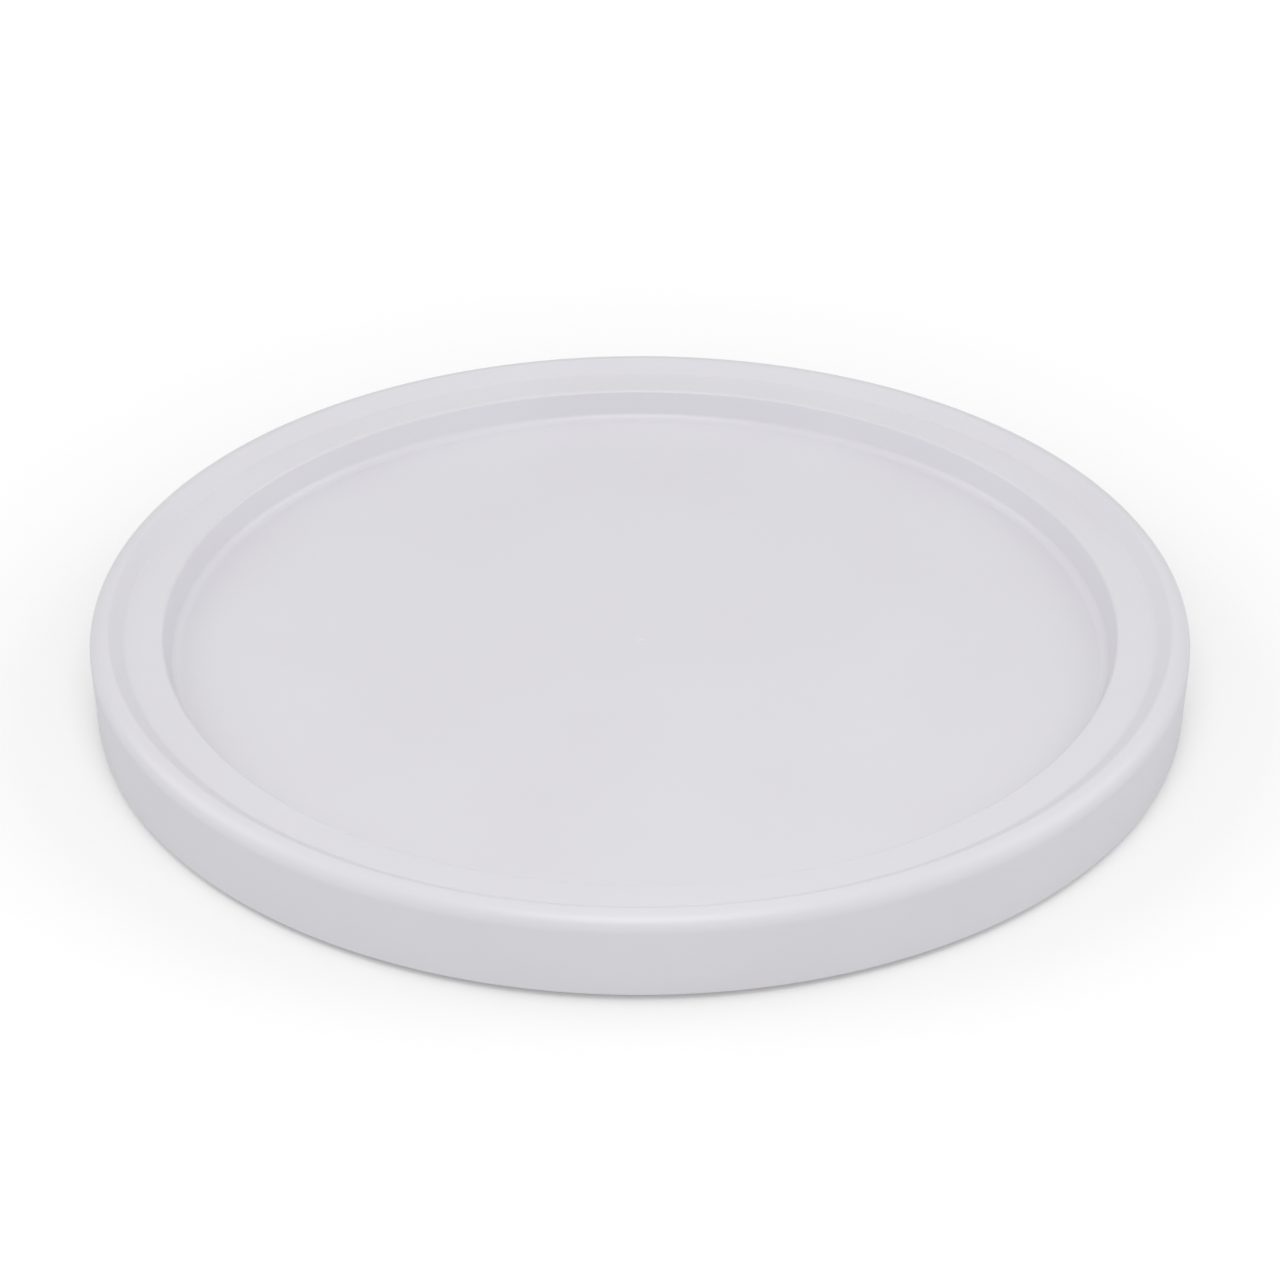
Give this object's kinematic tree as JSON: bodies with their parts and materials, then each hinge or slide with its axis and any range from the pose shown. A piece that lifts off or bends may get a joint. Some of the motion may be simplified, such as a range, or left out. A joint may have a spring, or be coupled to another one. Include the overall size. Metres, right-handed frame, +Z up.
{
  "type": "lazy susan turntable",
  "caption": "Low round turntable: a white moulded tray with a sunken deck and raised rim, turning on a ring of steel balls over a low footed base.",
  "frame": {"origin": "on the table, under the middle of the tray", "axes": "+Z is up along the axis the tray turns about; +X runs out through a foot, a ball and a rib of the tray"},
  "size_m": [0.3046, 0.3046, 0.026],
  "materials": {
    "tray_plastic": "satin white, smooth as moulded",
    "base_plastic": "fine matt white, as moulded",
    "cage_plastic": "natural white, as moulded",
    "ball_steel": "ground and polished bearing steel",
    "zinc_steel": "bright zinc plate",
    "rubber": "matt light grey"
  },
  "bodies": {
    "base": {"base": "base_plastic", "foot_1": "rubber", "foot_2": "rubber", "foot_3": "rubber", "foot_4": "rubber", "foot_5": "rubber", "foot_6": "rubber"},
    "tray": {"tray": "tray_plastic", "retaining_washer": "zinc_steel", "pivot_screw": "zinc_steel"},
    "cage": {"ball_cage": "cage_plastic"},
    "ball_01": {"ball_01": "ball_steel"},
    "ball_02": {"ball_02": "ball_steel"},
    "ball_03": {"ball_03": "ball_steel"},
    "ball_04": {"ball_04": "ball_steel"},
    "ball_05": {"ball_05": "ball_steel"},
    "ball_06": {"ball_06": "ball_steel"},
    "ball_07": {"ball_07": "ball_steel"},
    "ball_08": {"ball_08": "ball_steel"},
    "ball_09": {"ball_09": "ball_steel"},
    "ball_10": {"ball_10": "ball_steel"},
    "ball_11": {"ball_11": "ball_steel"},
    "ball_12": {"ball_12": "ball_steel"}
  },
  "joints": [
    {"name": "tray_spin", "type": "hinge", "parent": "base", "child": "tray", "pos_m": [0, 0, 0.0059], "axis": [0, 0, 1], "continuous": true},
    {"name": "cage_spin", "type": "hinge", "parent": "base", "child": "cage", "pos_m": [0, 0, 0.00757], "axis": [0, 0, 1], "continuous": true},
    {"name": "ball_01_roll", "type": "hinge", "parent": "cage", "child": "ball_01", "pos_m": [0.084, 0, 0.00757], "axis": [1, 0, 0], "continuous": true},
    {"name": "ball_02_roll", "type": "hinge", "parent": "cage", "child": "ball_02", "pos_m": [0.07275, 0.042, 0.00757], "axis": [0.866, 0.5, 0], "continuous": true},
    {"name": "ball_03_roll", "type": "hinge", "parent": "cage", "child": "ball_03", "pos_m": [0.042, 0.07275, 0.00757], "axis": [0.5, 0.866, 0], "continuous": true},
    {"name": "ball_04_roll", "type": "hinge", "parent": "cage", "child": "ball_04", "pos_m": [0, 0.084, 0.00757], "axis": [0, 1, 0], "continuous": true},
    {"name": "ball_05_roll", "type": "hinge", "parent": "cage", "child": "ball_05", "pos_m": [-0.042, 0.07275, 0.00757], "axis": [-0.5, 0.866, 0], "continuous": true},
    {"name": "ball_06_roll", "type": "hinge", "parent": "cage", "child": "ball_06", "pos_m": [-0.07275, 0.042, 0.00757], "axis": [-0.866, 0.5, 0], "continuous": true},
    {"name": "ball_07_roll", "type": "hinge", "parent": "cage", "child": "ball_07", "pos_m": [-0.084, 0, 0.00757], "axis": [-1, 0, 0], "continuous": true},
    {"name": "ball_08_roll", "type": "hinge", "parent": "cage", "child": "ball_08", "pos_m": [-0.07275, -0.042, 0.00757], "axis": [-0.866, -0.5, 0], "continuous": true},
    {"name": "ball_09_roll", "type": "hinge", "parent": "cage", "child": "ball_09", "pos_m": [-0.042, -0.07275, 0.00757], "axis": [-0.5, -0.866, 0], "continuous": true},
    {"name": "ball_10_roll", "type": "hinge", "parent": "cage", "child": "ball_10", "pos_m": [0, -0.084, 0.00757], "axis": [0, -1, 0], "continuous": true},
    {"name": "ball_11_roll", "type": "hinge", "parent": "cage", "child": "ball_11", "pos_m": [0.042, -0.07275, 0.00757], "axis": [0.5, -0.866, 0], "continuous": true},
    {"name": "ball_12_roll", "type": "hinge", "parent": "cage", "child": "ball_12", "pos_m": [0.07275, -0.042, 0.00757], "axis": [0.866, -0.5, 0], "continuous": true}
  ],
  "couplings": [
    {"joint": "cage_spin", "follows": "tray_spin", "ratio": 0.5},
    {"joint": "ball_01_roll", "follows": "tray_spin", "ratio": -10.5},
    {"joint": "ball_02_roll", "follows": "tray_spin", "ratio": -10.5},
    {"joint": "ball_03_roll", "follows": "tray_spin", "ratio": -10.5},
    {"joint": "ball_04_roll", "follows": "tray_spin", "ratio": -10.5},
    {"joint": "ball_05_roll", "follows": "tray_spin", "ratio": -10.5},
    {"joint": "ball_06_roll", "follows": "tray_spin", "ratio": -10.5},
    {"joint": "ball_07_roll", "follows": "tray_spin", "ratio": -10.5},
    {"joint": "ball_08_roll", "follows": "tray_spin", "ratio": -10.5},
    {"joint": "ball_09_roll", "follows": "tray_spin", "ratio": -10.5},
    {"joint": "ball_10_roll", "follows": "tray_spin", "ratio": -10.5},
    {"joint": "ball_11_roll", "follows": "tray_spin", "ratio": -10.5},
    {"joint": "ball_12_roll", "follows": "tray_spin", "ratio": -10.5}
  ]
}
